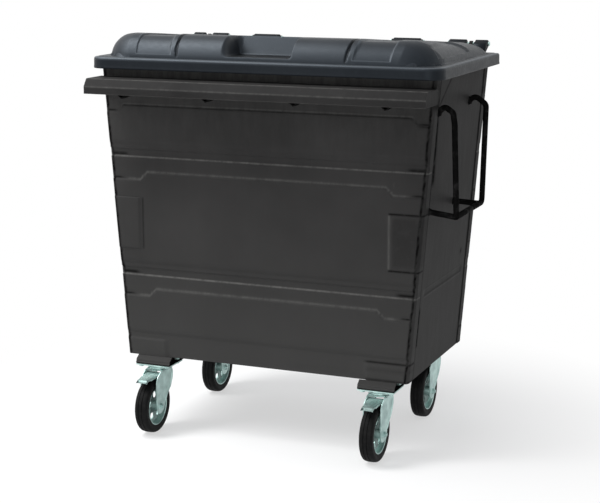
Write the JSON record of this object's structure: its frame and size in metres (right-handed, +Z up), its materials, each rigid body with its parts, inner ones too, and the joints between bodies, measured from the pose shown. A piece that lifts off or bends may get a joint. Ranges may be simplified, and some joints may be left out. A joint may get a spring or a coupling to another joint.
{
  "type": "four-wheeled waste container",
  "caption": "Flared pressed-steel refuse container with a hinged domed plastic lid, front lifting rail, side handle frame and braked swivel casters.",
  "frame": {"origin": "on the ground, under the middle of the whole outline", "axes": "+X across the container towards the handle side, +Y from the lifting rail at the front to the hinge at the rear, +Z up"},
  "size_m": [1.3504, 0.854, 1.451],
  "materials": {
    "body_paint": "satin charcoal powder coat over pressed steel",
    "lid_plastic": "grained dark blue-grey moulded polyethylene",
    "zinc_plate": "blue-passivated zinc plate",
    "tyre_rubber": "solid black rubber"
  },
  "bodies": {
    "root": {"front_panel": "body_paint", "rear_panel": "body_paint", "left_side_panel": "body_paint", "right_side_panel": "body_paint", "floor_pan": "body_paint", "mouth_rim": "body_paint", "lifting_rail": "body_paint", "rail_gussets": "body_paint", "rail_end_plate_left": "body_paint", "rail_end_plate_right": "body_paint", "caster_bracket_front_left": "body_paint", "caster_bracket_front_right": "body_paint", "caster_bracket_rear_left": "body_paint", "caster_bracket_rear_right": "body_paint", "caster_plate_front_left": "zinc_plate", "caster_plate_front_right": "zinc_plate", "caster_plate_rear_left": "zinc_plate", "caster_plate_rear_right": "zinc_plate", "king_pin_front_left": "zinc_plate", "king_pin_front_right": "zinc_plate", "king_pin_rear_left": "zinc_plate", "king_pin_rear_right": "zinc_plate", "caster_bolts": "zinc_plate", "caster_nuts": "zinc_plate", "side_handle": "body_paint", "hinge_brackets": "body_paint", "hinge_pins": "zinc_plate"},
    "lid": {"lid_shell": "lid_plastic"},
    "swivel_front_left": {"fork_front_left": "zinc_plate", "axle_bolt_front_left": "zinc_plate", "axle_nut_front_left": "zinc_plate", "pedal_pin_front_left": "zinc_plate"},
    "wheel_front_left": {"wheel_rim_front_left": "zinc_plate", "tyre_front_left": "tyre_rubber"},
    "brake_front_left": {"brake_pedal_front_left": "zinc_plate"},
    "swivel_front_right": {"fork_front_right": "zinc_plate", "axle_bolt_front_right": "zinc_plate", "axle_nut_front_right": "zinc_plate", "pedal_pin_front_right": "zinc_plate"},
    "wheel_front_right": {"wheel_rim_front_right": "zinc_plate", "tyre_front_right": "tyre_rubber"},
    "brake_front_right": {"brake_pedal_front_right": "zinc_plate"},
    "swivel_rear_left": {"fork_rear_left": "zinc_plate", "axle_bolt_rear_left": "zinc_plate", "axle_nut_rear_left": "zinc_plate"},
    "wheel_rear_left": {"wheel_rim_rear_left": "zinc_plate", "tyre_rear_left": "tyre_rubber"},
    "swivel_rear_right": {"fork_rear_right": "zinc_plate", "axle_bolt_rear_right": "zinc_plate", "axle_nut_rear_right": "zinc_plate"},
    "wheel_rear_right": {"wheel_rim_rear_right": "zinc_plate", "tyre_rear_right": "tyre_rubber"}
  },
  "joints": [
    {"name": "lid_hinge", "type": "hinge", "parent": "root", "child": "lid", "pos_m": [-0.01925, 0.413, 1.4], "axis": [-1, 0, 0], "range_deg": [0, 250]},
    {"name": "swivel_front_left", "type": "hinge", "parent": "root", "child": "swivel_front_left", "pos_m": [-0.45225, -0.267, 0.24], "axis": [0, 0, 1], "continuous": true},
    {"name": "wheel_front_left_spin", "type": "hinge", "parent": "swivel_front_left", "child": "wheel_front_left", "pos_m": [-0.45225, -0.327, 0.1], "axis": [1, 0, 0], "continuous": true},
    {"name": "brake_front_left_press", "type": "hinge", "parent": "swivel_front_left", "child": "brake_front_left", "pos_m": [-0.45225, -0.297, 0.2137], "axis": [1, 0, 0], "range_deg": [0, 12]},
    {"name": "swivel_front_right", "type": "hinge", "parent": "root", "child": "swivel_front_right", "pos_m": [0.41375, -0.267, 0.24], "axis": [0, 0, 1], "continuous": true},
    {"name": "wheel_front_right_spin", "type": "hinge", "parent": "swivel_front_right", "child": "wheel_front_right", "pos_m": [0.41375, -0.327, 0.1], "axis": [1, 0, 0], "continuous": true},
    {"name": "brake_front_right_press", "type": "hinge", "parent": "swivel_front_right", "child": "brake_front_right", "pos_m": [0.41375, -0.297, 0.2137], "axis": [1, 0, 0], "range_deg": [0, 12]},
    {"name": "swivel_rear_left", "type": "hinge", "parent": "root", "child": "swivel_rear_left", "pos_m": [-0.45225, 0.291, 0.24], "axis": [0, 0, 1], "continuous": true},
    {"name": "wheel_rear_left_spin", "type": "hinge", "parent": "swivel_rear_left", "child": "wheel_rear_left", "pos_m": [-0.45225, 0.231, 0.1], "axis": [1, 0, 0], "continuous": true},
    {"name": "swivel_rear_right", "type": "hinge", "parent": "root", "child": "swivel_rear_right", "pos_m": [0.41375, 0.291, 0.24], "axis": [0, 0, 1], "continuous": true},
    {"name": "wheel_rear_right_spin", "type": "hinge", "parent": "swivel_rear_right", "child": "wheel_rear_right", "pos_m": [0.41375, 0.231, 0.1], "axis": [1, 0, 0], "continuous": true}
  ]
}
